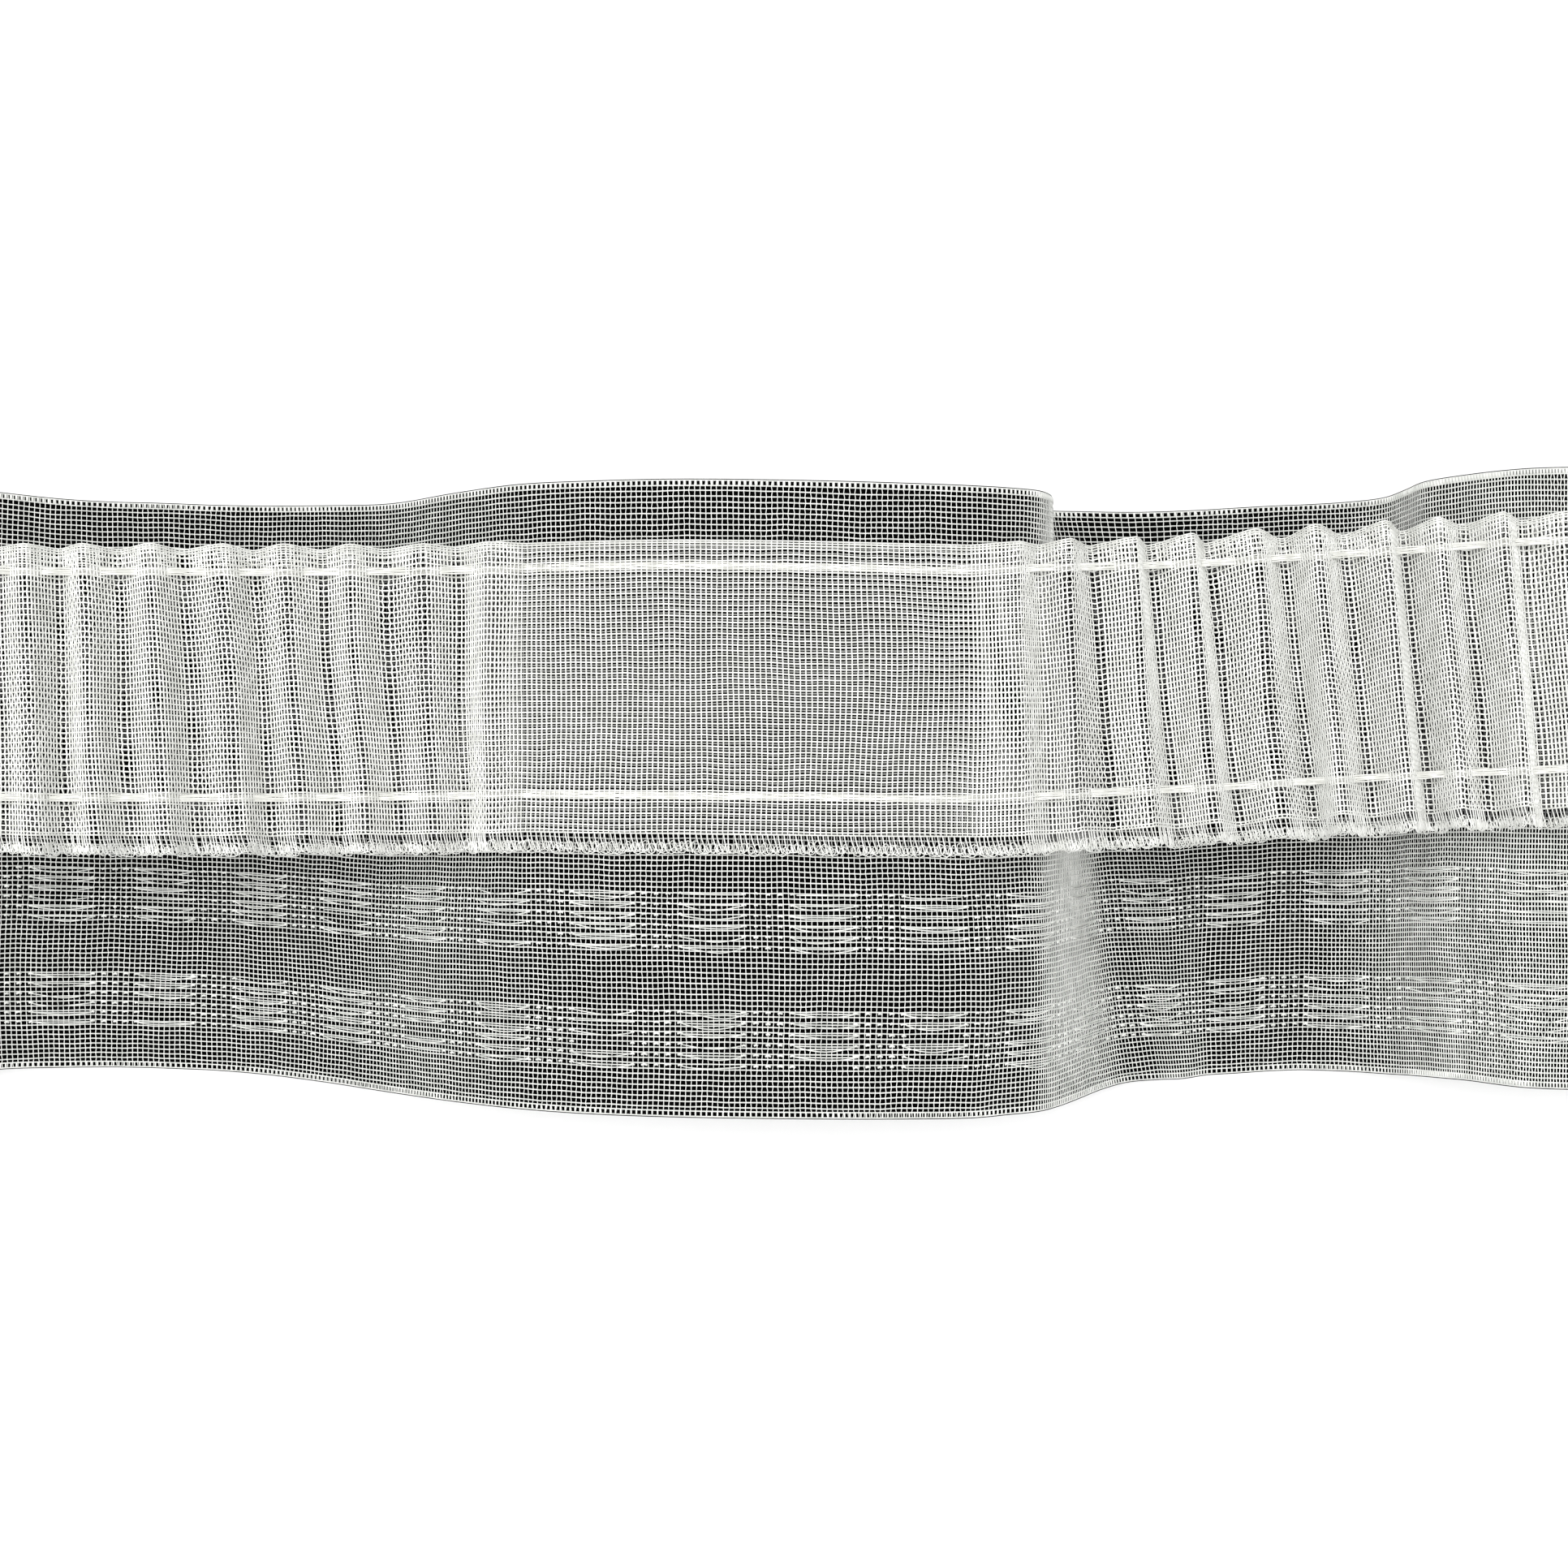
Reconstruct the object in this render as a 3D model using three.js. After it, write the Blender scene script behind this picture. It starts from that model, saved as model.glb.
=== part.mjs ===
import * as THREE from "three";

// A cut length of sheer curtain heading tape, lying in loose folds.
// The wide base tape lies low, rises in an arch and falls again. A narrower gathering band lies flat
// on the arch and stands in small pleats over the low parts, held on two flat draw cords.
// Millimetres. X runs along the tape, Y across it towards its top edge, Z up from the table.

// Driving dimensions
const BASE_WIDTH = 100;
const BAND_WIDTH = 49.4;
const BAND_INSET = 9.5;
const UPPER_CORD_INSET = 4.1;
const LOWER_CORD_INSET = 40.1;
const CLOTH_THICKNESS = 1;
const CORD_WIDTH = 1.3;
const CORD_THICKNESS = 0.6;
const CLEARANCE = 0.3;
const CLOTH_COLOUR = 0xe4e6df;
const BAND_COLOUR = 0xf0f1ea;
const CORD_COLOUR = 0xfafaf4;

// The band stands this far over the base where both lie flat, from middle to middle
const LAYER_STEP = 1.35;

// Cord and cloth touch when their middles are this close. A slot opens where the room left between
// them is less than this, which is just under the room that the cord has over the flat band.
const CORD_REACH = (CLOTH_THICKNESS + CORD_THICKNESS) / 2;
const SLOT_CLEARANCE = 0.8 * CLEARANCE;

// Base tape: one row for each section, with the place and height of its top edge and of its low
// edge, and how far the section lies off the middle line
const BASE_SECTIONS = table(["topX", "topZ", "lowX", "lowZ", "shift"], [
  [-165, 31.5, -165, 31.5, 0.6],
  [-158, 31.5, -158, 31.5, 0.8],
  [-151, 27.5, -151, 27.5, 1.0],
  [-145, 17, -145, 17, 1.0],
  [-137, 7, -137, 7, 0.9],
  [-127, 2.2, -127, 2.2, 0.3],
  [-118, 0.5, -118, 0.5, 0],
  [-113, 0.5, -113, 0.5, -0.1],
  [-107, 0.5, -107, 0.5, -0.3],
  [-102, 0.5, -102, 0.5, -0.5],
  [-92, 2.1, -92, 2.1, -0.9],
  [-80, 6, -80, 6, -1.4],
  [-67, 11.7, -67, 11.7, -1.9],
  [-54, 20.6, -54, 20.6, -1.4],
  [-42.5, 27.1, -42.5, 27.1, -1],
  [-31.6, 30.3, -31.6, 30.3, -1],
  [-18, 32.4, -18, 32.4, -1],
  [0, 32.8, 0, 32.8, -1.2],
  [18, 31.8, 18, 31.8, -1.5],
  [30, 30.2, 30, 30.2, -1.7],
  [36.5, 27.8, 35.6, 28.2, -1.7],
  [41.3, 24.9, 41, 26, -1.7],
  [43.9, 20.6, 44.6, 22.4, -1.8],
  [45, 14.5, 49, 17, -1.8],
  [45.2, 8, 55.1, 8.8, -1.9],
  [46.6, 3.4, 60.5, 3.8, -1.9],
  [52, 2.2, 66, 2, -1.9],
  [63, 1.4, 70.5, 1.2, -1.9],
  [74, 0.5, 75, 0.5, -1.4],
  [79, 0.5, 80, 0.5, -1.1],
  [86, 0.5, 86, 0.5, -0.7],
  [91, 0.5, 91, 0.5, -0.5],
  [99, 2.6, 99, 2.6, -0.3],
  [104.8, 4.6, 104.4, 7, 0.2],
  [106.8, 9, 107.2, 11.5, 0.9],
  [107.8, 14.5, 110, 15.5, 1.4],
  [112, 19.2, 113.2, 18.8, 1.7],
  [119.5, 24.6, 119.5, 24.8, 1.9],
  [128, 26.4, 128, 26.4, 1.9],
  [142, 27, 142, 27, 1.9],
  [165, 27, 165, 27, 1.9],
]);

// Gathering band: one row for each pleat, its crest and then the valley to the right of it,
// both taken along the band's top edge
const LEFT_PLEATS = table(["crestX", "crestZ", "valleyX", "valleyZ"], [
  [-149.7, 33.9, -145.2, 29.2],
  [-140, 33.3, -135.8, 28.3],
  [-130, 32.5, -126.4, 27.7],
  [-119.7, 31.9, -116.5, 27.2],
  [-110.6, 31.9, -107, 27.2],
  [-99.8, 31.9, -96.7, 27.2],
  [-88.6, 31.4, -85.4, 26.7],
  [-79.2, 30.9, -74.5, 26.3],
  [-68.8, 30.4, -64.5, 26.1],
  [-57.1, 30.2, -52.5, 26.5],
]);
const LEFT_LAST_CREST = { x: -46.6, z: 31.5 };
const RIGHT_PLEATS = table(["crestX", "crestZ", "valleyX", "valleyZ"], [
  [36.3, 33.7, 40.6, 29.1],
  [44.5, 32.9, 49.4, 26.1],
  [55.5, 30.4, 59.1, 24.1],
  [64.7, 29.9, 68.7, 23.4],
  [74.9, 29.7, 81.2, 23.1],
  [84.2, 30.2, 91.2, 23.3],
  [95.3, 30.4, 100.4, 23.8],
  [103.5, 31.2, 109.1, 26.6],
  [112.5, 33.9, 117.4, 29.2],
  [122.4, 34.4, 127, 29.5],
]);
const RIGHT_LAST_CREST = { x: 132.3, z: 33.6 };

// Where the band lies flat on the base, from the left end of the length to its right end
const LEFT_FLAT = [-165, -161, -157.5];
const MIDDLE_FLAT = [-41, -33, -25, -17, -8, 0, 8, 18, 28];
const RIGHT_FLAT = [137.5, 146, 155, 165];

// How the band drifts off the middle line, and how far its pleats lean to the right from the top
// edge to the low edge
const BAND_DRIFT = table(["x", "shift", "lean"], [
  [-165, -0.6, 0],
  [-150, -0.9, 1],
  [-120, -1.5, 1.6],
  [-85, -1.6, 3.4],
  [-60, -1.4, 2.2],
  [-44, -1, 0],
  [-18, -1, 0],
  [0, -1.2, 0],
  [18, -1.5, 0],
  [30, -1.6, 0.8],
  [45, -0.9, 2.5],
  [65, 0, 5],
  [83, 1.2, 5.2],
  [98, 2, 4.6],
  [112, 2.8, 4.4],
  [125, 3.2, 3],
  [138, 2.6, 0],
  [165, 2, 0],
]);

// The band's free top edge stands this much further out for each millimetre of crest
const EDGE_FLARE = 0.14;

// How level the band runs out of a turn: a share of the flank's run, or of its fall where it is steep
const TURN_SHARE_OF_RUN = 0.26;
const TURN_SHARE_OF_FALL = 0.16;

// Fineness of the faceted cloth
const BASE_STEPS = 2;
const BASE_STRIPS = 4;
const FLANK_STEPS = 4;
const CORD_STEPS = 3;

function clothMaterial(color, roughness) {
  return new THREE.MeshStandardMaterial({ color, roughness, metalness: 0 });
}

function table(columns, values) {
  return values.map((row) => Object.fromEntries(columns.map((name, at) => [name, row[at]])));
}

// Straight reading between the rows of a table that is ordered by x
function readAt(rows, x, column) {
  const next = Math.max(1, rows.findIndex((row) => row.x >= x));
  const [before, after] = [rows[next - 1], rows[next]];
  return THREE.MathUtils.mapLinear(x, before.x, after.x, before[column], after[column]);
}

function smoothPoints(points, steps) {
  const curve = new THREE.CatmullRomCurve3(points, false, "centripetal");
  return curve.getPoints((points.length - 1) * steps);
}

// The direction in which the cloth faces at one point of its grid
function facing(grid, i, j) {
  const along = new THREE.Vector3().subVectors(
    grid[Math.min(i + 1, grid.length - 1)][j], grid[Math.max(i - 1, 0)][j]);
  const across = new THREE.Vector3().subVectors(
    grid[i][Math.max(j - 1, 0)], grid[i][Math.min(j + 1, grid[i].length - 1)]);
  return along.cross(across).normalize();
}

// A closed sheet around a grid of middle points. Rows follow each other along the tape, and the
// points of a row run from the top edge down. A field where isOpen is true is left as a slot.
function clothSolid(grid, thickness, isOpen = () => false) {
  const offset = (i, j, side) =>
    grid[i][j].clone().addScaledVector(facing(grid, i, j), (side * thickness) / 2);
  const upper = grid.map((row, i) => row.map((_, j) => offset(i, j, 1)));
  const lower = grid.map((row, i) => row.map((_, j) => offset(i, j, -1)));
  const isCloth = (i, j) =>
    i >= 0 && j >= 0 && i < grid.length - 1 && j < grid[0].length - 1 && !isOpen(i, j);
  const corners = [];
  const addField = (a, b, c, d) => corners.push(a, b, c, a, c, d);
  for (let i = 0; i < grid.length - 1; i += 1) {
    for (let j = 0; j < grid[0].length - 1; j += 1) {
      if (!isCloth(i, j)) continue;
      const ring = [[i, j + 1], [i + 1, j + 1], [i + 1, j], [i, j]];
      const beyond = [[i, j + 1], [i + 1, j], [i, j - 1], [i - 1, j]];
      addField(...ring.map(([u, v]) => upper[u][v]));
      addField(...ring.map(([u, v]) => lower[u][v]).reverse());
      beyond.forEach(([u, v], side) => {
        if (isCloth(u, v)) return;
        const [start, end] = [ring[side], ring[(side + 1) % ring.length]];
        addField(
          upper[end[0]][end[1]], upper[start[0]][start[1]],
          lower[start[0]][start[1]], lower[end[0]][end[1]]);
      });
    }
  }
  const geometry = new THREE.BufferGeometry();
  const positions = corners.flatMap((corner) => corner.toArray());
  geometry.setAttribute("position", new THREE.Float32BufferAttribute(positions, 3));
  geometry.computeVertexNormals();
  return geometry;
}

// Both edges of the base tape as smooth lines, lying no lower than flat on the table
function baseEdge(xColumn, zColumn, side) {
  const points = BASE_SECTIONS.map((row) =>
    new THREE.Vector3(row[xColumn], row.shift + (side * BASE_WIDTH) / 2, row[zColumn]));
  const edge = smoothPoints(points, BASE_STEPS);
  edge.forEach((point) => { point.z = Math.max(point.z, CLOTH_THICKNESS / 2); });
  return edge;
}

function baseTape() {
  const topEdge = baseEdge("topX", "topZ", 1);
  const lowEdge = baseEdge("lowX", "lowZ", -1);
  const grid = topEdge.map((top, i) =>
    Array.from({ length: BASE_STRIPS + 1 }, (_, j) =>
      top.clone().lerp(lowEdge[i], j / BASE_STRIPS)));
  return clothSolid(grid, CLOTH_THICKNESS);
}

// Stations along the band where it lies flat, one step over the base
function flatStations(places) {
  const base = baseEdge("topX", "topZ", 1);
  return places.map((x) => {
    const z = readAt(base, x, "z") + LAYER_STEP;
    return { x, z, level: z };
  });
}

// Stations from one turn of the band to the next, in an S that leaves each turn level
function flankStations(from, to) {
  const fall = to.z - from.z;
  const handle = Math.max(
    TURN_SHARE_OF_RUN * (to.x - from.x), TURN_SHARE_OF_FALL * Math.abs(fall));
  const flank = new THREE.CubicBezierCurve(
    new THREE.Vector2(from.x, from.z), new THREE.Vector2(from.x + handle, from.z),
    new THREE.Vector2(to.x - handle, to.z), new THREE.Vector2(to.x, to.z));
  const level = from.z + fall / 2;
  return flank.getPoints(FLANK_STEPS).map((point) => ({ x: point.x, z: point.y, level }));
}

// A pleated stretch between two flat ones: out of the first, over each crest and into the second
function pleatStations(start, pleats, lastCrest, end) {
  const turns = [start];
  for (const pleat of pleats) {
    turns.push({ x: pleat.crestX, z: pleat.crestZ }, { x: pleat.valleyX, z: pleat.valleyZ });
  }
  turns.push(lastCrest, end);
  return turns.slice(1).flatMap((turn, at) =>
    flankStations(turns[at], turn).slice(1)).slice(0, -1);
}

function bandStations() {
  const left = flatStations(LEFT_FLAT);
  const middle = flatStations(MIDDLE_FLAT);
  const right = flatStations(RIGHT_FLAT);
  return [
    ...left,
    ...pleatStations(left.at(-1), LEFT_PLEATS, LEFT_LAST_CREST, middle[0]),
    ...middle,
    ...pleatStations(middle.at(-1), RIGHT_PLEATS, RIGHT_LAST_CREST, right[0]),
    ...right,
  ];
}

// A point of the band's middle surface, at a station and a distance from the band's top edge
function bandPoint(x, z, inset) {
  const topEdge = BASE_WIDTH / 2 - BAND_INSET + readAt(BAND_DRIFT, x, "shift");
  const lean = readAt(BAND_DRIFT, x, "lean") * (inset / BAND_WIDTH);
  return new THREE.Vector3(x + lean, topEdge - inset, z);
}

// The cords lie on the flat band, and run through the pleats at half their depth
function cordHeights() {
  const onTop = CORD_REACH + CLEARANCE;
  const flat = (places) => flatStations(places).map(({ x, z }) => ({ x, z: z + onTop }));
  const gathered = (pleats) => pleats.map((pleat) => ({
    x: (pleat.crestX + pleat.valleyX) / 2,
    z: (pleat.crestZ + pleat.valleyZ) / 2,
  }));
  return [
    ...flat(LEFT_FLAT), ...gathered(LEFT_PLEATS),
    ...flat(MIDDLE_FLAT), ...gathered(RIGHT_PLEATS),
    ...flat(RIGHT_FLAT),
  ];
}

// True where the band would touch a cord between one station and the next
function meetsCord(stations, cord, i) {
  const rises = [stations[i], stations[i + 1]].map(({ x, z }) => z - readAt(cord, x, "z"));
  const passesThrough = rises[0] * rises[1] < 0;
  return passesThrough || Math.min(...rises.map(Math.abs)) < CORD_REACH + SLOT_CLEARANCE;
}

function frontBand() {
  const stations = bandStations();
  const cord = cordHeights();
  const halfSlot = CORD_WIDTH / 2 + CLEARANCE;
  const insets = [
    0, UPPER_CORD_INSET - halfSlot, UPPER_CORD_INSET + halfSlot,
    (UPPER_CORD_INSET + LOWER_CORD_INSET) / 2,
    LOWER_CORD_INSET - halfSlot, LOWER_CORD_INSET + halfSlot, BAND_WIDTH,
  ];
  const slotStrips = [1, 4];
  const grid = stations.map(({ x, z, level }) => insets.map((inset) => {
    const point = bandPoint(x, z, inset);
    if (inset === 0) point.y += EDGE_FLARE * (z - level);
    return point;
  }));
  const isSlot = (i, j) => slotStrips.includes(j) && meetsCord(stations, cord, i);
  return clothSolid(grid, CLOTH_THICKNESS, isSlot);
}

function drawCord(inset) {
  const route = cordHeights().map(({ x, z }) => bandPoint(x, z, inset));
  const grid = smoothPoints(route, CORD_STEPS).map((point) => [
    point.clone().setY(point.y + CORD_WIDTH / 2),
    point.clone().setY(point.y - CORD_WIDTH / 2),
  ]);
  return clothSolid(grid, CORD_THICKNESS);
}

function piece(name, geometry, material) {
  const mesh = new THREE.Mesh(geometry, material);
  mesh.name = name;
  return mesh;
}

const tape = new THREE.Group();
tape.add(piece("base_tape", baseTape(), clothMaterial(CLOTH_COLOUR, 0.8)));
tape.add(piece("front_band", frontBand(), clothMaterial(BAND_COLOUR, 0.75)));
tape.add(piece("draw_cord_upper", drawCord(UPPER_CORD_INSET), clothMaterial(CORD_COLOUR, 0.6)));
tape.add(piece("draw_cord_lower", drawCord(LOWER_CORD_INSET), clothMaterial(CORD_COLOUR, 0.6)));

export default tape;
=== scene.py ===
"""The looks of a cut length of sheer curtain heading tape that lies in loose folds.

Every yarn follows one of two curved sheets: the wide base tape, or the gathering band that lies flat
on its raised middle and stands in pleats to both sides. Metres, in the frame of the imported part:
X runs along the tape, Y across it towards its top edge, Z up from the table. A place on a sheet is
how far it is along the sheet, and how far across it from the sheet's top edge.
"""

import math

import bpy
import numpy as np
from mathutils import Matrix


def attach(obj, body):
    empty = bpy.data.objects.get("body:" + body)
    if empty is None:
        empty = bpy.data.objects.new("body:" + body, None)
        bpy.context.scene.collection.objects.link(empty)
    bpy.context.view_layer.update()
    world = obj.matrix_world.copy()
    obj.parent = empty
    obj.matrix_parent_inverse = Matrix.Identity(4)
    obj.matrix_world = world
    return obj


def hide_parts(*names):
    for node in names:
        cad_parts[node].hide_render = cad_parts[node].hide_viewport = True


MM = 0.001

# The photograph: its side and focal length in pixels, and the pixel row straight below the camera
PHOTO_SIDE = 1932
PHOTO_FOCAL = 1937
PHOTO_ROW_BELOW_CAMERA = 900

# The camera: its place, the side of its sensor in mm, and the nearest that it shows
CAMERA_PLACE = (0, 9.6 * MM, 279 * MM)
SENSOR_MM = 36
NEAREST_IN_VIEW = 10 * MM

# Driving sizes of the tape. The band's inset is from the tape's top edge, and the cords' insets are from
# the band's. The layer step is from the middle of the base to the middle of the band that lies on it,
# and the middle of the base is nowhere lower than the last value
BASE_WIDTH = 100 * MM
BAND_WIDTH = 49.4 * MM
BAND_INSET = 9.5 * MM
CORD_INSETS = {"upper": 4.1 * MM, "lower": 40.1 * MM}
CORD_WIDTH = 1.2 * MM
LAYER_STEP = 1.35 * MM
LOWEST_MIDDLE = 0.5 * MM

# The mesh: spacing of its warps, distance of the first and last one from the tape's edges, reach of the
# band's warps from its top edge, the yarns' width and thickness, and the height of warps and wefts over
# the middle of the sheet
WARP_PITCH = 0.88 * MM
LOW_WARP_PITCH = 0.84 * MM
FIRST_WARP = 1.75 * MM
LAST_WARP = 1.4 * MM
BAND_WARP_REACH = [1.2 * MM, 45.5 * MM]
BASE_WARP = 0.29 * MM
BAND_WARP = 0.25 * MM
YARN_THICKNESS = 0.22 * MM
UPPER_YARNS = 0.04 * MM
LOWER_YARNS = -0.03 * MM

# Corners of each weft between the outermost warps and the edge: their distances from the edge
BASE_WEFT_ENDS = [0.2 * MM, 0.95 * MM]
BAND_WEFT_ENDS = [0.15 * MM, 0.85 * MM]

# Wefts by place along the tape: their spacing and width in mm on level cloth, the shares of that
# spacing and width on flanks that face the middle of the tape, and the shares on flanks that face away
BASE_WEFTS = [
    [-123, 0.93, 0.31, 0.91, 1, 0.91, 1],
    [-75, 0.9, 0.31, 0.91, 1, 0.91, 1],
    [-68, 0.8, 0.31, 0.91, 1, 0.91, 1],
    [-48, 0.8, 0.31, 0.91, 1, 0.91, 1],
    [-41, 0.87, 0.29, 0.91, 1, 0.91, 1],
    [30, 0.87, 0.29, 0.91, 1, 0.91, 1],
    [38, 0.86, 0.31, 0.91, 1, 0.91, 1],
    [42, 0.6, 0.4, 0.91, 1, 0.91, 1],
    [50, 0.6, 0.4, 0.91, 1, 0.91, 1],
    [55, 0.82, 0.31, 0.91, 1, 0.91, 1],
    [66, 0.88, 0.3, 0.91, 1, 0.91, 1],
    [92, 0.88, 0.3, 0.91, 1, 0.91, 1],
    [102, 0.66, 0.34, 0.91, 1, 0.91, 1],
    [107, 0.5, 0.37, 0.91, 1, 0.91, 1],
    [125, 0.5, 0.37, 0.91, 1, 0.91, 1],
    [140, 0.8, 0.31, 0.91, 1, 0.91, 1],
]
BAND_WEFTS = [
    [-140, 1, 0.28, 1, 1, 1, 1],
    [-128, 1.5, 0.22, 0.39, 1.5, 0.57, 1.55],
    [-100, 1.5, 0.22, 0.39, 1.5, 0.55, 1.55],
    [-92, 1.5, 0.22, 0.41, 1.5, 0.48, 1.55],
    [-85, 1.5, 0.22, 0.39, 1.5, 0.53, 1.55],
    [-70, 1.5, 0.22, 0.4, 1.5, 0.53, 1.55],
    [-60, 1.5, 0.22, 0.39, 1.5, 0.47, 1.55],
    [-54, 1.3, 0.22, 0.45, 1.5, 0.58, 1.4],
    [-50, 0.72, 0.28, 0.82, 1.1, 0.9, 1.05],
    [-43, 0.72, 0.28, 0.82, 1.1, 0.9, 1.05],
    [-41, 0.87, 0.22, 0.91, 1, 0.91, 1],
    [28.5, 0.87, 0.22, 0.91, 1, 0.91, 1],
    [31, 0.68, 0.3, 0.85, 1.1, 0.95, 0.9],
    [43, 0.68, 0.3, 0.85, 1.1, 0.95, 0.9],
    [46, 1.5, 0.22, 0.43, 1.75, 0.56, 1.05],
    [128, 1.5, 0.22, 0.43, 1.75, 0.56, 1.05],
    [140, 1, 0.28, 1, 1, 1, 1],
]

# A flank that rises this much for its length has those shares in full, and a flatter one in part. No weft
# is nearer to an end of the tape than this share of a spacing
STEEP = 0.45
WEFT_CLEAR = 0.4

# Neighbouring wefts are pinched together at every other warp, which makes the holes three-sided. In the
# band it is a share of half the gap between two wefts: on its turns, and how much more on its flanks
BASE_PINCH = 0.05 * MM
TURN_PINCH = 0.08
FLANK_PINCH = 0.42

# The band has its pinch in full where it stands high over the base: it grows from this gap on, over this
# much more of it, and never falls under a small share
PINCH_BEGINS = 1.5 * MM
PINCH_RISE = 3 * MM
PINCH_ON_FLAT = 0.1

# From hole to hole the pinch varies by shares of itself: mean, spread, most, and least in each sheet
PINCH_MEAN = 0.75
PINCH_SPREAD = 0.45
PINCH_MOST = 1.2
BASE_PINCH_LEAST = 0.05
BAND_PINCH_LEAST = 0.6

# How the mesh strays from an even one: shortest and longest waves of the warps' sway, of the wefts' sway
# and of the holes' shape, how far the yarns sway, and how far each of their corners strays
WARP_WAVES = [7 * MM, 30 * MM]
WEFT_WAVES = [18 * MM, 60 * MM]
HOLE_WAVES = [12 * MM, 50 * MM]
WARP_SWAY = 0.07 * MM
WEFT_SWAY = 0.25 * MM
WARP_STRAY = 0.015 * MM
WEFT_STRAY = 0.018 * MM

# The soft mesh lies a little lower than the middle of the solid that it stands for, and the dark sheet
# under the base's mesh, which paints shade into its holes, reaches a little past the edges of the base
BASE_DROP = 0.15 * MM
BAND_DROP = 0.5 * MM
SHADE_SHEET_OVERLAP = 0.12 * MM

# Base tape in mm: top edge's place and height, low edge's place and height, shift off the middle line
BASE_SECTIONS = [
    [-165, 31.5, -165, 31.5, 0.6],
    [-158, 31.5, -158, 31.5, 0.8],
    [-151, 27.5, -151, 27.5, 1.0],
    [-145, 17, -145, 17, 1.0],
    [-137, 7, -137, 7, 0.9],
    [-127, 2.2, -127, 2.2, 0.3],
    [-118, 0.5, -118, 0.5, 0],
    [-113, 0.5, -113, 0.5, -0.1],
    [-107, 0.5, -107, 0.5, -0.3],
    [-102, 0.5, -102, 0.5, -0.5],
    [-92, 2.1, -92, 2.1, -0.9],
    [-80, 6, -80, 6, -1.4],
    [-67, 11.7, -67, 11.7, -1.9],
    [-54, 20.6, -54, 20.6, -1.4],
    [-42.5, 27.1, -42.5, 27.1, -1],
    [-31.6, 30.3, -31.6, 30.3, -1],
    [-18, 32.4, -18, 32.4, -1],
    [0, 32.8, 0, 32.8, -1.2],
    [18, 31.8, 18, 31.8, -1.5],
    [30, 30.2, 30, 30.2, -1.7],
    [36.5, 27.8, 35.6, 28.2, -1.7],
    [41.3, 24.9, 41, 26, -1.7],
    [43.9, 20.6, 44.6, 22.4, -1.8],
    [45, 14.5, 49, 17, -1.8],
    [45.2, 8, 55.1, 8.8, -1.9],
    [46.6, 3.4, 60.5, 3.8, -1.9],
    [52, 2.2, 66, 2, -1.9],
    [63, 1.4, 70.5, 1.2, -1.9],
    [74, 0.5, 75, 0.5, -1.4],
    [79, 0.5, 80, 0.5, -1.1],
    [86, 0.5, 86, 0.5, -0.7],
    [91, 0.5, 91, 0.5, -0.5],
    [99, 2.6, 99, 2.6, -0.3],
    [104.8, 4.6, 104.4, 7, 0.2],
    [106.8, 9, 107.2, 11.5, 0.9],
    [107.8, 14.5, 110, 15.5, 1.4],
    [112, 19.2, 113.2, 18.8, 1.7],
    [119.5, 24.6, 119.5, 24.8, 1.9],
    [128, 26.4, 128, 26.4, 1.9],
    [142, 27, 142, 27, 1.9],
    [165, 27, 165, 27, 1.9],
]

# Pleats of the band in mm, along its top edge: place and height of each crest, then of the valley
# to the right of it
LEFT_PLEATS = [
    [-149.7, 33.9, -145.2, 29.2],
    [-140, 33.3, -135.8, 28.3],
    [-130, 32.5, -126.4, 27.7],
    [-119.7, 31.9, -116.5, 27.2],
    [-110.6, 31.9, -107, 27.2],
    [-99.8, 31.9, -96.7, 27.2],
    [-88.6, 31.4, -85.4, 26.7],
    [-79.2, 30.9, -74.5, 26.3],
    [-68.8, 30.4, -64.5, 26.1],
    [-57.1, 30.2, -52.5, 26.5],
]
LEFT_LAST_CREST = [-46.6, 31.5]
RIGHT_PLEATS = [
    [36.3, 33.7, 40.6, 29.1],
    [44.5, 32.9, 49.4, 26.1],
    [55.5, 30.4, 59.1, 24.1],
    [64.7, 29.9, 68.7, 23.4],
    [74.9, 29.7, 81.2, 23.1],
    [84.2, 30.2, 91.2, 23.3],
    [95.3, 30.4, 100.4, 23.8],
    [103.5, 31.2, 109.1, 26.6],
    [112.5, 33.9, 117.4, 29.2],
    [122.4, 34.4, 127, 29.5],
]
RIGHT_LAST_CREST = [132.3, 33.6]

# Where the band lies flat on the base, in mm
LEFT_FLAT = [-165, -161, -157.5]
MIDDLE_FLAT = [-41, -33, -25, -17, -8, 0, 8, 18, 28]
RIGHT_FLAT = [137.5, 146, 155, 165]

# Band in mm: place, drift off the middle line, lean of its pleats to the right going down, and how much
# more than that its valleys lean for each mm that they are deep
BAND_DRIFT = [
    [-165, -0.6, 0, 0],
    [-150, -0.9, 1, 0],
    [-120, -1.5, 1.6, -0.1],
    [-85, -1.6, 3.4, -0.1],
    [-60, -1.4, 2.2, 0],
    [-44, -1, 0, 0],
    [-18, -1, 0, 0],
    [0, -1.2, 0, 0],
    [18, -1.5, 0, 0],
    [30, -1.6, 0.8, 0],
    [45, -0.9, 2.5, 0.3],
    [65, 0, 5, 0.25],
    [83, 1.2, 5.2, 0.15],
    [98, 2, 4.6, 0.1],
    [112, 2.8, 4.4, 0.1],
    [125, 3.2, 3, 0],
    [138, 2.6, 0, 0],
    [165, 2, 0, 0],
]

# A flank leaves each turn level for this share of its run, or of its fall if that is more. Crests drift
# by this factor times their height over the middle of the pleat times the slope of their lean
TURN_SHARE_OF_RUN = 0.26
TURN_SHARE_OF_FALL = 0.16
CREST_DRIFT = 1.8

# Points of each sheet from its top edge down: their number on the base, and their places on the band in
# mm, the last one past its low edge
BASE_POINTS = 5
BAND_POINTS = [0, 10, 20, 30, 40, 50.4]

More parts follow.
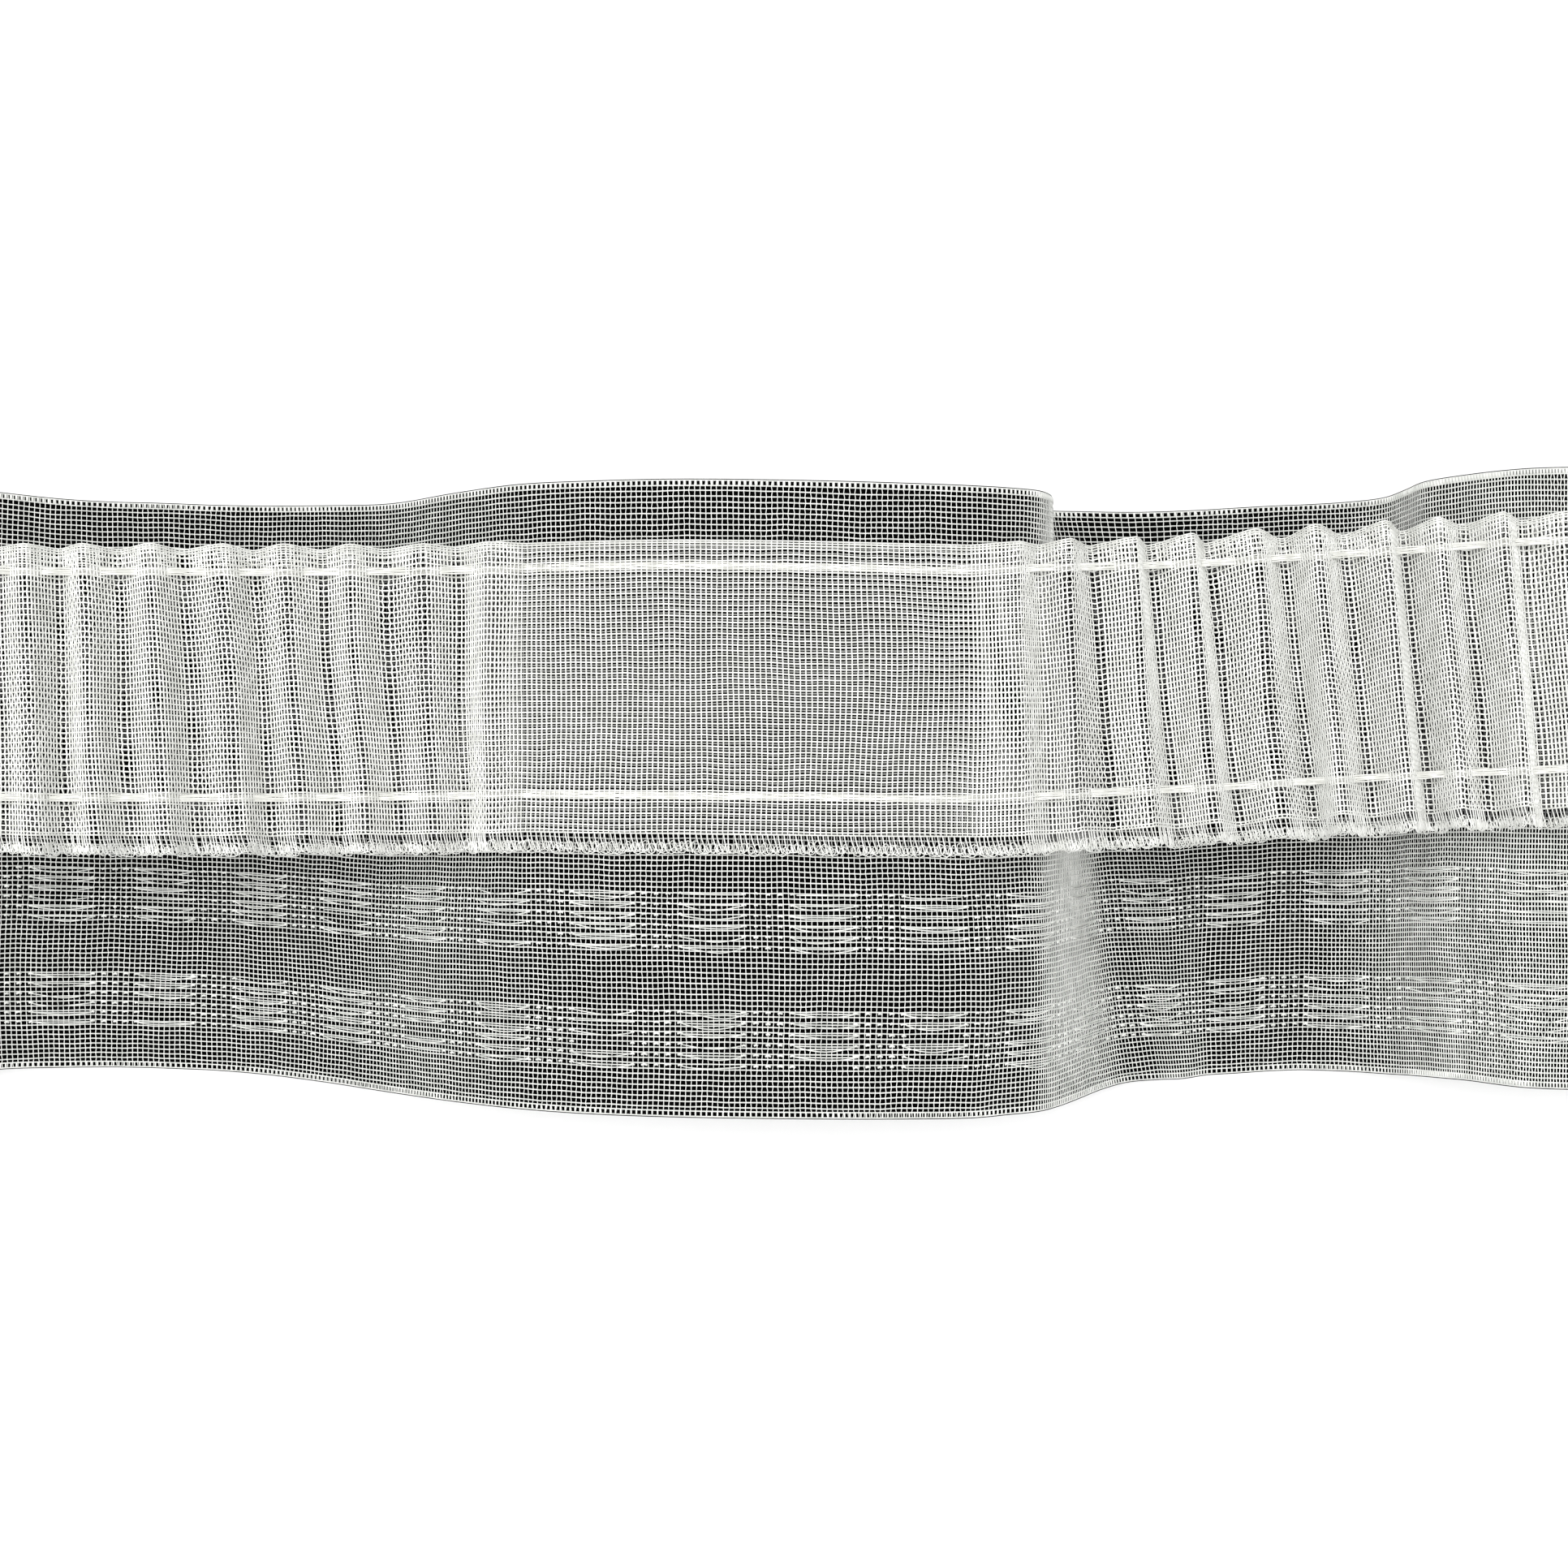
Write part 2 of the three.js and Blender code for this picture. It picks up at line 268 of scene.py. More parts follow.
# Rows of woven blocks on the base, by their distance from its top edge, and along the tape from its
# middle: where a block begins, how long it is, and how far on the next one begins
BLOCK_ROWS = [[64.9 * MM, 74.9 * MM], [83.5 * MM, 93.1 * MM]]
BLOCK_BEGIN = 1.5 * MM
BLOCK_LENGTH = 9.5 * MM
BLOCK_REPEAT = 17.6 * MM

# Floats of a block: yarn, chance that one is missing, how far it begins off its place and runs on past
# the block, how far it lies below its place, wobble of the upper one and sag of the lower one of each
# two, how skewed that is, and the height of both ends and of the arch between them
FLOAT_YARN = 0.24 * MM
FLOAT_POINTS = 9
FLOAT_MISSING = 0.16
FLOAT_STRAY = 0.25 * MM
FLOAT_OVERRUN = 0.8 * MM
FLOAT_OFFSET = 0.12 * MM
FLOAT_WOBBLE = 0.05 * MM
FLOAT_SAG = [0.3 * MM, 0.9 * MM]
FLOAT_SKEW = [0.7, 1.4]
FLOAT_LIFT = 0.05 * MM
FLOAT_ARCH = 0.12 * MM

# Knots between the blocks: yarn, spacing, where the first one lies past a block, half their length, how
# far they stray and how they bend
KNOT_YARN = 0.5 * MM
KNOT_PITCH = 1.9 * MM
FIRST_KNOT = 0.3 * MM
KNOT_HALF = [0.28 * MM, 0.5 * MM]
KNOT_STRAY = 0.05 * MM
KNOT_BEND = [0.1 * MM, -0.06 * MM, 0.1 * MM]

# Selvages of the base: places of a stitch's points and of the two rims, in from the edge, and their sizes
STITCH_PLACES = [0.15 * MM, 0.5 * MM, 0.9 * MM]
RIM_PLACES = [0.12 * MM, 0.95 * MM]
TOP_STITCH = 0.42 * MM
LOW_STITCH = 0.26 * MM
STITCH_THICKNESS = 0.26 * MM
RIM_WIDTH = 0.22 * MM
RIM_THICKNESS = 0.28 * MM

# Hems of the band: places of their yarns below its top edge, and the yarns' size
TOP_HEM = [0.14 * MM, 0.5 * MM, 0.9 * MM]
LOW_HEM = [46 * MM]
HEM_WIDTH = 0.3 * MM
HEM_THICKNESS = 0.26 * MM

# Fringe of the band: yarn, where it begins, its length, how far it leans to the right, how much that,
# its points and its place between the wefts vary, and the power by which its lean grows going down
FRINGE_YARN = 0.2 * MM
FRINGE_POINTS = 5
FRINGE_TOP = 45.9 * MM
FRINGE_LENGTH = 2.9 * MM
FRINGE_LEAN = 0.75 * MM
FRINGE_LEAN_SPREAD = 0.15 * MM
FRINGE_STRAY = 0.05 * MM
FRINGE_WEFT_SPREAD = 0.12
FRINGE_CURVE = 1.5

# Loops of the band's low edge: yarn, wefts to each loop, wefts left free at both ends, distance of the
# loops' middle from the top edge, how far it drifts, half their length and height, how much their size
# varies, how far they rise over each other, and the turn at which each of the two chains begins
LOOP_YARN = 0.19 * MM
LOOP_WEFTS = 1.25
LOOP_FREE_WEFTS = 1.5
LOOP_MIDDLE = 48.35 * MM
LOOP_DRIFT = 0.25 * MM
LOOP_HALF_LENGTH = 0.6 * MM
LOOP_HALF_HEIGHT = 0.72 * MM
LOOP_SIZE_SPREAD = 0.3
LOOP_RISE = 0.1 * MM
LOOP_CHAINS = [0, 2.5]

# Strands of a draw cord: number, size, how far their corners stray across and up, and how far the cord
# sinks into the band where that lies flat
STRANDS = 5
STRAND_WIDTH = 0.25 * MM
STRAND_THICKNESS = 0.3 * MM
STRAND_STRAY = [0.035 * MM, 0.03 * MM]
CORD_SINK = 0.15 * MM

# The base's yarns are painted darker as shade under the band: never by less than this share of full
# shade, by more from this gap between them on, and in full after so much more. The painted shade fades
# out inside the band's edges
SHADE_ON_FLAT = 0.35
SHADE_BEGINS = 3 * MM
SHADE_DEPTH = 4 * MM
SHADE_FADE = 2 * MM
SHADE_COLOUR = (0.12, 0.12, 0.12)

# Finishes: the darkest and the lightest tone of each yarn, and how rough it is
CORD_TONES = [(0.68, 0.68, 0.64), (0.8, 0.8, 0.77)]
BASE_TONES = [(0.68, 0.69, 0.66), (0.82, 0.825, 0.795)]
BAND_TONES = [(0.72, 0.725, 0.69), (0.84, 0.845, 0.815)]
CORD_ROUGHNESS = 0.5
BASE_ROUGHNESS = 0.6
BAND_ROUGHNESS = 0.58
YARN_GLOSS = 0.25
YARN_SHEEN = 0.1
SHEEN_ROUGHNESS = 0.5
# Colour of the dark sheet under the base's mesh, which paints shade into its holes
SHADE_SHEET_COLOUR = (0.0015, 0.0015, 0.0015)

# Patterns of the yarns: waves to the metre and detail of their uneven tone and of their fibres, the part
# of the first pattern over which the tone changes, and the strength and height of the fibres
TONE_WAVES = 420
TONE_DETAIL = 3
TONE_CHANGES = (0.4, 0.6)
FIBRE_WAVES = 6000
FIBRE_DETAIL = 2
FIBRE_STRENGTH = 0.25
FIBRE_HEIGHT = 0.03 * MM

# The stage, in metres, watts and degrees
FLOOR_REACH = 3
FLOOR_COLOUR = (0.92, 0.92, 0.92)
FLOOR_ROUGHNESS = 0.9
SKY_STRENGTH = 0.9
LAMP_PLACE = (-0.25, 0.3, 1.4)
LAMP_TILT = (-12, -10, 0)
LAMP_SIDE = 1.2
LAMP_ENERGY = 18.5

# Fineness: steps to each span of the sheets' lines, to each flank, span of a cord and edge loop
BASE_STEPS = 6
FLANK_STEPS = 6
FLAT_STEPS = 4
CORD_STEPS = 7
LOOP_STEPS = 9
SEED = 11


def smooth_line(points, steps):
    """A centripetal Catmull-Rom line through the points, with that many steps to each span."""
    points = np.asarray(points, dtype=float)
    before = 2 * points[:1] - points[1:2]
    after = 2 * points[-1:] - points[-2:-1]
    padded = np.vstack([before, points, after])
    share = (np.arange(steps) / steps)[:, None]
    spans = []
    for p0, p1, p2, p3 in zip(padded, padded[1:], padded[2:], padded[3:]):
        pairs = ((p0, p1), (p1, p2), (p2, p3))
        first, second, third = (math.sqrt(np.linalg.norm(b - a)) for a, b in pairs)
        leave = ((p1 - p0) / first - (p2 - p0) / (first + second) + (p2 - p1) / second) * second
        reach = ((p2 - p1) / second - (p3 - p1) / (second + third) + (p3 - p2) / third) * second
        square = -3 * p1 + 3 * p2 - 2 * leave - reach
        cube = 2 * p1 - 2 * p2 + leave + reach
        spans.append(p1 + leave * share + square * share**2 + cube * share**3)
    return np.vstack([*spans, points[-1:]])


class Cloth:
    """A curved sheet, as a grid of points. Rows follow each other along the tape, and the points of a
    row run from the top edge down. Its wefts are numbered from the middle of the tape."""

    def __init__(self, grid, depths, wefts):
        self.grid = grid
        self.depths = np.asarray(depths)
        middle = grid[:, grid.shape[1] // 2]
        steps = np.linalg.norm(np.diff(middle, axis=0), axis=1)
        self.reach = np.concatenate([[0], np.cumsum(steps)])
        self.length = self.reach[-1]
        self.middle_x = middle[:, 0]
        self.middle_z = middle[:, 2]
        steepness = np.clip(np.gradient(self.middle_z, self.reach) / STEEP, -1, 1)
        outward = steepness * np.sign(self.middle_x)
        faces_in, faces_away = np.maximum(0, outward), np.maximum(0, -outward)
        places, *columns = np.array(wefts).T
        pitch, width, in_pitch, in_width, away_pitch, away_width = (
            np.interp(self.middle_x / MM, places, column) for column in columns)
        self.yarn_share = 1 + (in_width - 1) * faces_in + (away_width - 1) * faces_away
        self.yarn_width = self.yarn_share * width * MM
        self.pitch = pitch * MM * (1 + (in_pitch - 1) * faces_in + (away_pitch - 1) * faces_away)
        self.steepness = np.abs(steepness)
        density = 1 / self.pitch
        counted = np.concatenate([[0], np.cumsum(steps * (density[1:] + density[:-1]) / 2)])
        self.weft_number = counted - np.interp(0, self.middle_x, counted)
        facing = np.cross(np.gradient(grid, axis=0), -np.gradient(grid, axis=1))
        self.facing = facing / np.linalg.norm(facing, axis=2, keepdims=True)

    def by_weft(self, values, number):
        """What something known all along the sheet comes to at a weft."""
        return np.interp(number, self.weft_number, values)

    def along_middle(self):
        """How far along the sheet the middle of the tape is."""
        return np.interp(0, self.middle_x, self.reach)

    def at_weft(self, number):
        """How far along the sheet a weft is, which may be a part number between two wefts."""
        return np.interp(number, self.weft_number, self.reach)

    def wefts(self):
        """The numbers of all wefts, counted from the middle of the tape."""
        first = math.ceil(self.weft_number[0] + WEFT_CLEAR)
        return np.arange(first, self.weft_number[-1] - WEFT_CLEAR)

    def at(self, along, across, lift=0.0):
        """Points on the sheet, raised along its normal, and the normals there."""
        along, across = np.broadcast_arrays(along, across)
        row = np.interp(along, self.reach, np.arange(len(self.reach)))
        column = np.interp(across, self.depths, np.arange(len(self.depths)))
        i = np.minimum(row.astype(int), len(self.reach) - 2)
        j = np.minimum(column.astype(int), len(self.depths) - 2)
        u, v = (row - i)[..., None], (column - j)[..., None]

        def between(values):
            upper = values[i, j] * (1 - u) + values[i + 1, j] * u
            lower = values[i, j + 1] * (1 - u) + values[i + 1, j + 1] * u
            return upper * (1 - v) + lower * v

        facing = between(self.facing)
        facing /= np.linalg.norm(facing, axis=-1, keepdims=True)
        return between(self.grid) + facing * np.asarray(lift)[..., None], facing


def base_edges():
    """Both edges of the base tape as smooth lines."""
    rows = np.array(BASE_SECTIONS) * MM
    half = BASE_WIDTH / 2
    top = np.column_stack([rows[:, 0], rows[:, 4] + half, rows[:, 1]])
    low = np.column_stack([rows[:, 2], rows[:, 4] - half, rows[:, 3]])
    edges = [smooth_line(top, BASE_STEPS), smooth_line(low, BASE_STEPS)]
    for edge in edges:
        edge[:, 2] = np.maximum(edge[:, 2], LOWEST_MIDDLE)
    return edges


def base_cloth():
    """The sheet that the yarns of the base tape follow."""
    top, low = base_edges()
    share = np.linspace(0, 1, BASE_POINTS)
    grid = top[:, None] + (low - top)[:, None] * share[None, :, None]
    grid[..., 2] -= BASE_DROP
    return Cloth(grid, share * BASE_WIDTH, BASE_WEFTS)


def flat_stations(places, steps=1):
    """Place, height and mean level of the band where it lies flat, one step over the base."""
    top, _ = base_edges()
    ends = np.array(places) * MM
    x = np.interp(np.arange((len(ends) - 1) * steps + 1) / steps, np.arange(len(ends)), ends)
    z = np.interp(x, top[:, 0], top[:, 2]) + LAYER_STEP
    return np.column_stack([x, z, z])


def flank_stations(start, end):
    """The band from one turn to the next, in an S that leaves each turn level."""
    fall = end[1] - start[1]
    handle = max(TURN_SHARE_OF_RUN * (end[0] - start[0]), TURN_SHARE_OF_FALL * abs(fall))
    t = np.arange(1, FLANK_STEPS + 1) / FLANK_STEPS
    weights = np.column_stack([(1 - t) ** 3, 3 * (1 - t) ** 2 * t, 3 * (1 - t) * t**2, t**3])
    x = weights @ [start[0], start[0] + handle, end[0] - handle, end[0]]
    z = weights @ [start[1], start[1], end[1], end[1]]
    return np.column_stack([x, z, np.full(len(t), start[1] + fall / 2)])


def pleat_stations(start, pleats, last_crest, end):
    """A pleated stretch between two flat ones: out of the first, over each crest, into the second."""
    turns = [start]
    for crest_x, crest_z, valley_x, valley_z in np.array(pleats) * MM:
        turns += [(crest_x, crest_z), (valley_x, valley_z)]
    turns += [tuple(np.array(last_crest) * MM), end]
    flanks = [flank_stations(a, b) for a, b in zip(turns, turns[1:])]
    return np.vstack(flanks)[:-1]


def band_stations():
    """Place, height and mean level along the whole top edge of the band."""
    flats = (LEFT_FLAT, MIDDLE_FLAT, RIGHT_FLAT)
    left, middle, right = (flat_stations(places, FLAT_STEPS) for places in flats)
    return np.vstack([
        left,
        pleat_stations(left[-1, :2], LEFT_PLEATS, LEFT_LAST_CREST, middle[0, :2]),
        middle,
        pleat_stations(middle[-1, :2], RIGHT_PLEATS, RIGHT_LAST_CREST, right[0, :2]),
        right,
    ])


def band_points(x, z, level, inset):
    """Points of the band, from place and height along its top edge and distance below that edge. Where
    pleats lean, their crests drift towards the top edge and their valleys away from it. Flanks that
    fall to the right widen on the way down, or narrow."""
    places, shifts, leans, openings = np.array(BAND_DRIFT).T
    lean = np.interp(x / MM, places, leans) * MM / BAND_WIDTH
    opening = np.interp(x / MM, places, openings) / BAND_WIDTH
    drift = np.interp(x / MM, places, shifts) * MM + CREST_DRIFT * lean * (z - level)
    along = x + (lean + opening * (level - z)) * inset
    across = BASE_WIDTH / 2 - BAND_INSET + drift - inset
    return np.stack(np.broadcast_arrays(along, across, z), axis=-1)


def band_cloth():
    """The sheet that the yarns of the band follow."""
    x, z, level = (column[:, None] for column in band_stations().T)
    depths = np.array(BAND_POINTS) * MM
    grid = band_points(x, z, level, depths[None, :])
    grid[..., 2] -= BAND_DROP
    return Cloth(grid, depths, BAND_WEFTS)


class Ripple:
    """A smooth random field over a sheet, mostly from -1 to 1."""

    def __init__(self, rng, shortest, longest, waves=14):
        length = rng.uniform(shortest, longest, waves)
        turn = rng.uniform(0, 2 * math.pi, waves)
        self.along = 2 * math.pi / length * np.cos(turn)
        self.across = 2 * math.pi / length * np.sin(turn)
        self.phase = rng.uniform(0, 2 * math.pi, waves)

    def at(self, along, across):
        along, across = np.broadcast_arrays(along, across)
        total = np.zeros(along.shape)
        for a, b, phase in zip(self.along, self.across, self.phase):
            total += np.sin(a * along + b * across + phase)
        return total / math.sqrt(len(self.phase) / 2)


def tubes(lines, facing, width, thickness, sides=3, is_roof=False):
    """Corners and faces of one closed tube along each line of points. The first side faces up. Width and
    thickness are one number, or one for every line. A roof has three corners and no underside, for yarns
    that are only seen from above."""
    count, length = lines.shape[:2]
    forward = np.gradient(lines, axis=1)
    beside = np.cross(forward, facing)
    beside /= np.linalg.norm(beside, axis=2, keepdims=True)
    above = np.cross(beside, forward)
    above /= np.linalg.norm(above, axis=2, keepdims=True)
    turn = math.pi / 2 + 2 * math.pi * np.arange(sides) / sides
    half_width, half_thickness = (np.reshape(size, (-1, 1, 1, 1)) / 2 for size in (width, thickness))
    ring = (
        beside[:, :, None] * np.cos(turn)[:, None] * half_width
        + above[:, :, None] * np.sin(turn)[:, None] * half_thickness
    )
    corners = (lines[:, :, None] + ring).reshape(-1, 3)
    number = np.arange(count * length * sides).reshape(count, length, sides)
    here, there = number[:, :-1], number[:, 1:]
    walls = np.stack([here, there, np.roll(there, -1, axis=2), np.roll(here, -1, axis=2)], axis=-1)
    if is_roof:
        return corners, walls[:, :, [0, 2]].reshape(-1, 4).tolist()
    return corners, walls.reshape(-1, 4).tolist() + number[:, 0].tolist() + number[:, -1, ::-1].tolist()


def joined(parts):
    """Several (corners, faces) as one."""
    corners, faces, start = [], [], 0
    for part_corners, part_faces in parts:
        corners.append(part_corners)
        faces += [[start + at for at in face] for face in part_faces]
        start += len(part_corners)
    return np.vstack(corners), faces


def new_piece(name, parts, material):
    """One visible piece of the part, joined from several (corners, faces)."""
    corners, faces = joined(parts)
    mesh = bpy.data.meshes.new(name)
    mesh.from_pydata(corners.tolist(), [], faces)
    mesh.polygons.foreach_set("use_smooth", [True] * len(faces))
    mesh.materials.append(material)
    piece = bpy.data.objects.new(name, mesh)
    bpy.context.scene.collection.objects.link(piece)
    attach(piece, "root")
    return piece


class Weave:
    """How the mesh strays from an even one: it sways as a whole, and its holes vary in shape."""

    def __init__(self, rng):
        self.rng = rng
        self.warp_sway = Ripple(rng, *WARP_WAVES)
        self.weft_sway = Ripple(rng, *WEFT_WAVES)
        self.hole_shape = Ripple(rng, *HOLE_WAVES)

    def warps(self, cloth, inset, across, width, is_roof=False):
        """Yarns that run the length of a sheet. The sheet's top edge lies an inset below the tape's."""
        along = cloth.reach[None, :]
        across = np.asarray(across)[:, None]
        shift = WARP_SWAY * self.warp_sway.at(along - cloth.along_middle(), across + inset)
        shift = shift + self.rng.normal(0, WARP_STRAY, shift.shape)
        lines, facing = cloth.at(along, across + shift, UPPER_YARNS)
        return tubes(lines, facing, width, YARN_THICKNESS, is_roof=is_roof)

    def wefts(self, cloth, inset, numbers, across, pinch, least, is_roof=False):
        """Yarns that run across a sheet, with a corner at each given distance from its top edge. The
        pinch is one number, or one for every weft, and the least is the smallest share of it."""
        along = cloth.at_weft(numbers)[:, None]
        across = np.asarray(across)[None, :]
        shift = WEFT_SWAY * self.weft_sway.at(along - cloth.along_middle(), across + inset)
        hole = PINCH_MEAN + PINCH_SPREAD * self.hole_shape.at(along, across)
        turns = np.where((np.round(numbers)[:, None] + np.arange(across.shape[1])) % 2 == 0, 1, -1)
        shift = shift + turns * np.clip(hole, least, PINCH_MOST) * np.reshape(pinch, (-1, 1))
        shift = shift + self.rng.normal(0, WEFT_STRAY, turns.shape)
        lines, facing = cloth.at(along + shift, across, LOWER_YARNS)
        width = cloth.by_weft(cloth.yarn_width, numbers)
        thickness = YARN_THICKNESS * np.minimum(1, cloth.by_weft(cloth.yarn_share, numbers))
        return tubes(lines, facing, width, thickness, is_roof=is_roof)


def warp_places():
    """How far each warp of the base is from its top edge. They are closer below the band."""
    above = np.arange(FIRST_WARP, BAND_INSET + BAND_WIDTH, WARP_PITCH)
    below = np.arange(above[-1] + LOW_WARP_PITCH, BASE_WIDTH - LAST_WARP, LOW_WARP_PITCH)
    return np.concatenate([above, below])


def gap_under_band(band, base, x):
    """How high the band stands over the base at a place along the tape."""
    return np.interp(x, band.middle_x, band.middle_z) - np.interp(x, base.middle_x, base.middle_z)


def band_pinch(band, base):
    """How far each weft of the band is pinched: little where the band lies on the base, more on the
    turns of its pleats, and most on their flanks."""
    gap = gap_under_band(band, base, band.middle_x)
    stands_free = np.clip((gap - PINCH_BEGINS) / PINCH_RISE, PINCH_ON_FLAT, 1)
    share = stands_free * (TURN_PINCH + FLANK_PINCH * band.steepness)
    return band.by_weft(share * (band.pitch - band.yarn_width) / 2, band.wefts())


def give_shade(piece, band, base):
    """Stores at each corner of a piece how deep it lies in the shade under the band, from 0 to 1, for the
    painted shade in its colour.
    """
    corners = np.array([corner.co for corner in piece.data.vertices])
    places, shifts = np.array(BAND_DRIFT).T[:2]
    band_middle = BASE_WIDTH / 2 - BAND_INSET - BAND_WIDTH / 2
    middle = np.interp(corners[:, 0] / MM, places, shifts) * MM + band_middle
    from_edge = BAND_WIDTH / 2 - np.abs(corners[:, 1] - middle)
    depth = gap_under_band(band, base, corners[:, 0]) - SHADE_BEGINS
    shade = np.clip(depth / SHADE_DEPTH, SHADE_ON_FLAT, 1) * np.clip(from_edge / SHADE_FADE, 0, 1)
    piece.data.attributes.new("shade", "FLOAT", "POINT").data.foreach_set("value", shade)


def halves(numbers):
    """The wefts of the left half and of the right half, for two pieces of like size."""
    return zip(("left", "right"), np.array_split(numbers, 2))


def selvage(cloth, edge, inward, stitch_width):
    """The firm edge of a sheet: a short stitch at each weft, held by a yarn along either side."""
    places = cloth.at_weft(cloth.wefts())[:, None]
    ends = edge + inward * np.array([STITCH_PLACES])
    stitches, stitch_facing = cloth.at(places, ends, UPPER_YARNS)
    rim_places = edge + inward * np.array(RIM_PLACES)[:, None]
    rims, rim_facing = cloth.at(cloth.reach[None, :], rim_places, 0)
    return [
        tubes(stitches, stitch_facing, stitch_width, STITCH_THICKNESS, sides=4),
        tubes(rims, rim_facing, RIM_WIDTH, RIM_THICKNESS, sides=4),
    ]


def hem(cloth, places):
    """Close lengthwise yarns that firm up a sheet."""
    lines, facing = cloth.at(cloth.reach[None, :], np.array(places)[:, None], UPPER_YARNS)
    return tubes(lines, facing, HEM_WIDTH, HEM_THICKNESS)


def sheet_grid(cloth, overlap):
    """The sheet itself, reaching a little past its two long edges."""
    grid = cloth.grid.copy()
    across = np.gradient(cloth.grid, axis=1)
    across /= np.linalg.norm(across, axis=2, keepdims=True)
    grid[:, 0] -= across[:, 0] * overlap
    grid[:, -1] += across[:, -1] * overlap
    rows, columns = grid.shape[:2]
    number = np.arange(rows * columns).reshape(rows, columns)
    faces = np.stack([number[:-1, 1:], number[1:, 1:], number[1:, :-1], number[:-1, :-1]], axis=-1)
    return grid.reshape(-1, 3), faces.reshape(-1, 4).tolist()


def block_begins(cloth):
    """How far along the base tape each block of floats begins."""
    middle = cloth.along_middle()
    before = int((middle + BLOCK_BEGIN - BLOCK_REPEAT) / BLOCK_REPEAT)
    after = int((cloth.length - middle - BLOCK_BEGIN - BLOCK_REPEAT) / BLOCK_REPEAT)
    return middle + BLOCK_BEGIN + BLOCK_REPEAT * np.arange(-before, after + 1)


def floats(cloth, rng):
    """Yarns that lie over the mesh in each block, two at every second warp. The lower one sags."""
    share = np.linspace(0, 1, FLOAT_POINTS)
    arch = np.sin(math.pi * share)
    along, across, lift = [], [], []
    for begin in block_begins(cloth):
        for top, low in BLOCK_ROWS:
            for place in np.arange(top, low, 2 * LOW_WARP_PITCH):
                for sag in (rng.normal(0, FLOAT_WOBBLE), rng.uniform(*FLOAT_SAG)):
                    if rng.random() < FLOAT_MISSING:
                        continue
                    skewed = share ** rng.uniform(*FLOAT_SKEW)
                    start = begin + rng.normal(0, FLOAT_STRAY)
                    length = BLOCK_LENGTH + rng.uniform(0, FLOAT_OVERRUN)
                    along.append(start + share * length)
                    across.append(place + FLOAT_OFFSET + sag * np.sin(math.pi * skewed))
                    lift.append(FLOAT_LIFT + FLOAT_ARCH * arch)
    lines, facing = cloth.at(np.array(along), np.array(across), np.array(lift))
    return tubes(lines, facing, FLOAT_YARN, FLOAT_YARN)


def knots(cloth, rng):
    """Thick crossings between the blocks, in rows two warps apart."""
    columns = np.arange(FIRST_KNOT, BLOCK_REPEAT - BLOCK_LENGTH, KNOT_PITCH)
    along, across = [], []
    for end in block_begins(cloth) + BLOCK_LENGTH:
        for top, low in BLOCK_ROWS:
            for row in np.arange(top, low, 2 * LOW_WARP_PITCH):
                for column in columns:
                    half = rng.uniform(*KNOT_HALF)
                    along.append(end + column + np.array([-half, 0, half]))
                    across.append(row + rng.normal(0, KNOT_STRAY) + np.array(KNOT_BEND))
    lines, facing = cloth.at(np.array(along), np.array(across), UPPER_YARNS)
    return tubes(lines, facing, KNOT_YARN, FLOAT_YARN)


def edge_loops(cloth, rng, first_turn):
    """A tangled chain of small loops along the band's low edge."""
    first_weft, last_weft = cloth.weft_number[[0, -1]]
    count = int((last_weft - first_weft - 2 * LOOP_FREE_WEFTS) / LOOP_WEFTS)
    t = np.arange(0, count, 1 / LOOP_STEPS)
    turn = 2 * math.pi * t + first_turn
    loops = np.arange(count)
    size = 1 + LOOP_SIZE_SPREAD * np.interp(t, loops, rng.normal(0, 1, count))
    drift = LOOP_DRIFT * np.interp(t, loops, rng.normal(0, 1, count))
    middle = cloth.at_weft(first_weft + LOOP_FREE_WEFTS + t * LOOP_WEFTS)
    along = middle + LOOP_HALF_LENGTH * size * np.sin(turn)
    across = LOOP_MIDDLE + drift + LOOP_HALF_HEIGHT * size * np.cos(turn)
    lift = LOOP_RISE * np.sin(turn * 0.5 + first_turn)
    lines, facing = cloth.at(along[None, :], np.minimum(across, BAND_WIDTH)[None, :], lift[None, :])
    return tubes(lines, facing, LOOP_YARN, LOOP_YARN)


def fringe(cloth, rng):
    """Short slanting threads between the last warps and the loops, one for every weft."""
    numbers = cloth.wefts()[:, None]
    numbers = numbers + rng.normal(0, FRINGE_WEFT_SPREAD, numbers.shape)
    share = np.linspace(0, 1, FRINGE_POINTS)[None, :]
    lean = rng.normal(FRINGE_LEAN, FRINGE_LEAN_SPREAD, numbers.shape)
    along = cloth.at_weft(numbers) + lean * share**FRINGE_CURVE
    across = FRINGE_TOP + FRINGE_LENGTH * share + rng.normal(0, FRINGE_STRAY, along.shape)
    lines, facing = cloth.at(along, across, UPPER_YARNS)
    return tubes(lines, facing, FRINGE_YARN, FRINGE_YARN, is_roof=True)


def cord_route(inset):
    """The line of a draw cord: in the flat band, and through the pleats at half their depth."""

    def on_band(places):
        return flat_stations(places)[:, :2] - [0, CORD_SINK + BAND_DROP]

    def through(pleats):
        crest_x, crest_z, valley_x, valley_z = (np.array(pleats) * MM).T
        return np.column_stack([(crest_x + valley_x) / 2, (crest_z + valley_z) / 2 - BAND_DROP])

    route = np.vstack([
        on_band(LEFT_FLAT), through(LEFT_PLEATS),
        on_band(MIDDLE_FLAT), through(RIGHT_PLEATS),
        on_band(RIGHT_FLAT),
    ])
    return smooth_line(band_points(route[:, 0], route[:, 1], route[:, 1], inset), CORD_STEPS)


